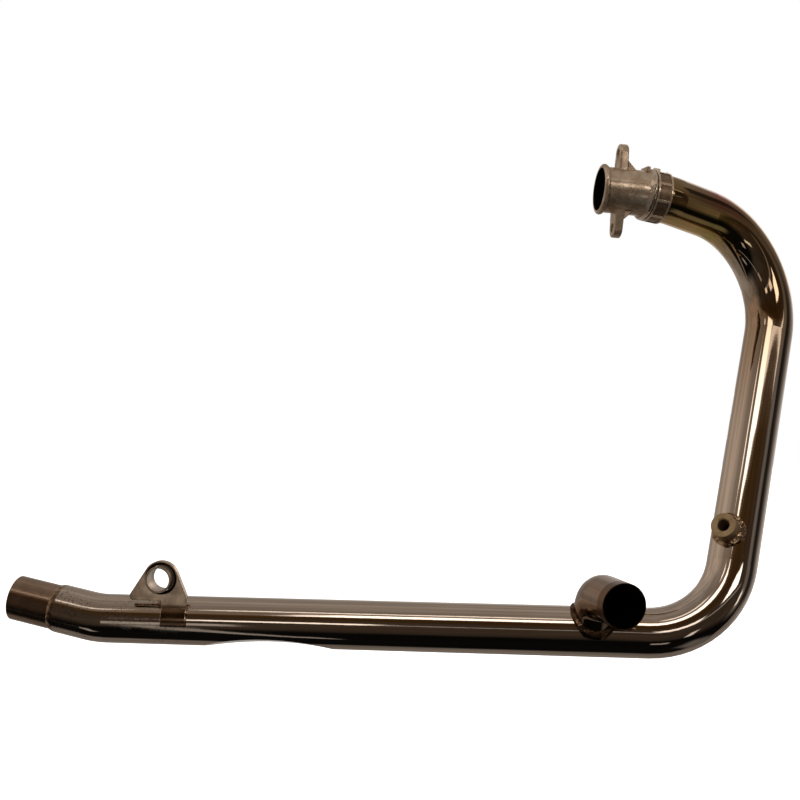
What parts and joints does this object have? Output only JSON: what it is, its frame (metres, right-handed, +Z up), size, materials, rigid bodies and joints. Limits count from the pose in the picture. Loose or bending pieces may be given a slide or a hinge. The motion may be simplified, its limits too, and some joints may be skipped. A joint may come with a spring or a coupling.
{
  "type": "motorcycle exhaust header",
  "caption": "Bent double-wall exhaust header pipe with a cast head spigot, a sensor boss, a crossover elbow, a hanger bracket and an outlet spigot.",
  "frame": {"origin": "centre of the head spigot's mouth, where it meets the cylinder head", "axes": "+X forward, +Y outboard to the rider's left, +Z up; the long lower run is level"},
  "size_m": [0.7493, 0.2043, 0.4696],
  "materials": {
    "chrome_pipe": "bright chrome plate with heat tint near the head and fine scratches",
    "inner_steel": "bare tube steel, dulled by exhaust heat",
    "cast_steel": "rough cast, dull grey-brown",
    "collar_steel": "pressed steel, brown with heat",
    "weld": "rippled weld bead, brown and straw tinted",
    "boss_steel": "turned steel, straw-brown with heat",
    "chrome_elbow": "dull chrome with a brown heat band at the mouth",
    "outlet_steel": "worn plated steel with rub marks",
    "chrome_bracket": "chrome plate over pressed sheet",
    "sleeve_steel": "plated tube, dull inside"
  },
  "bodies": {
    "root": {"outer_pipe": "chrome_pipe", "inner_pipe": "inner_steel", "head_spigot": "cast_steel", "crimp_collar": "collar_steel", "head_weld": "weld", "sensor_boss": "boss_steel", "sensor_boss_weld": "weld", "crossover_elbow": "chrome_elbow", "crossover_weld": "weld", "outlet_spigot": "outlet_steel", "outlet_weld": "weld", "hanger_bracket": "chrome_bracket", "hanger_sleeve": "sleeve_steel", "hanger_welds": "weld"}
  },
  "joints": []
}
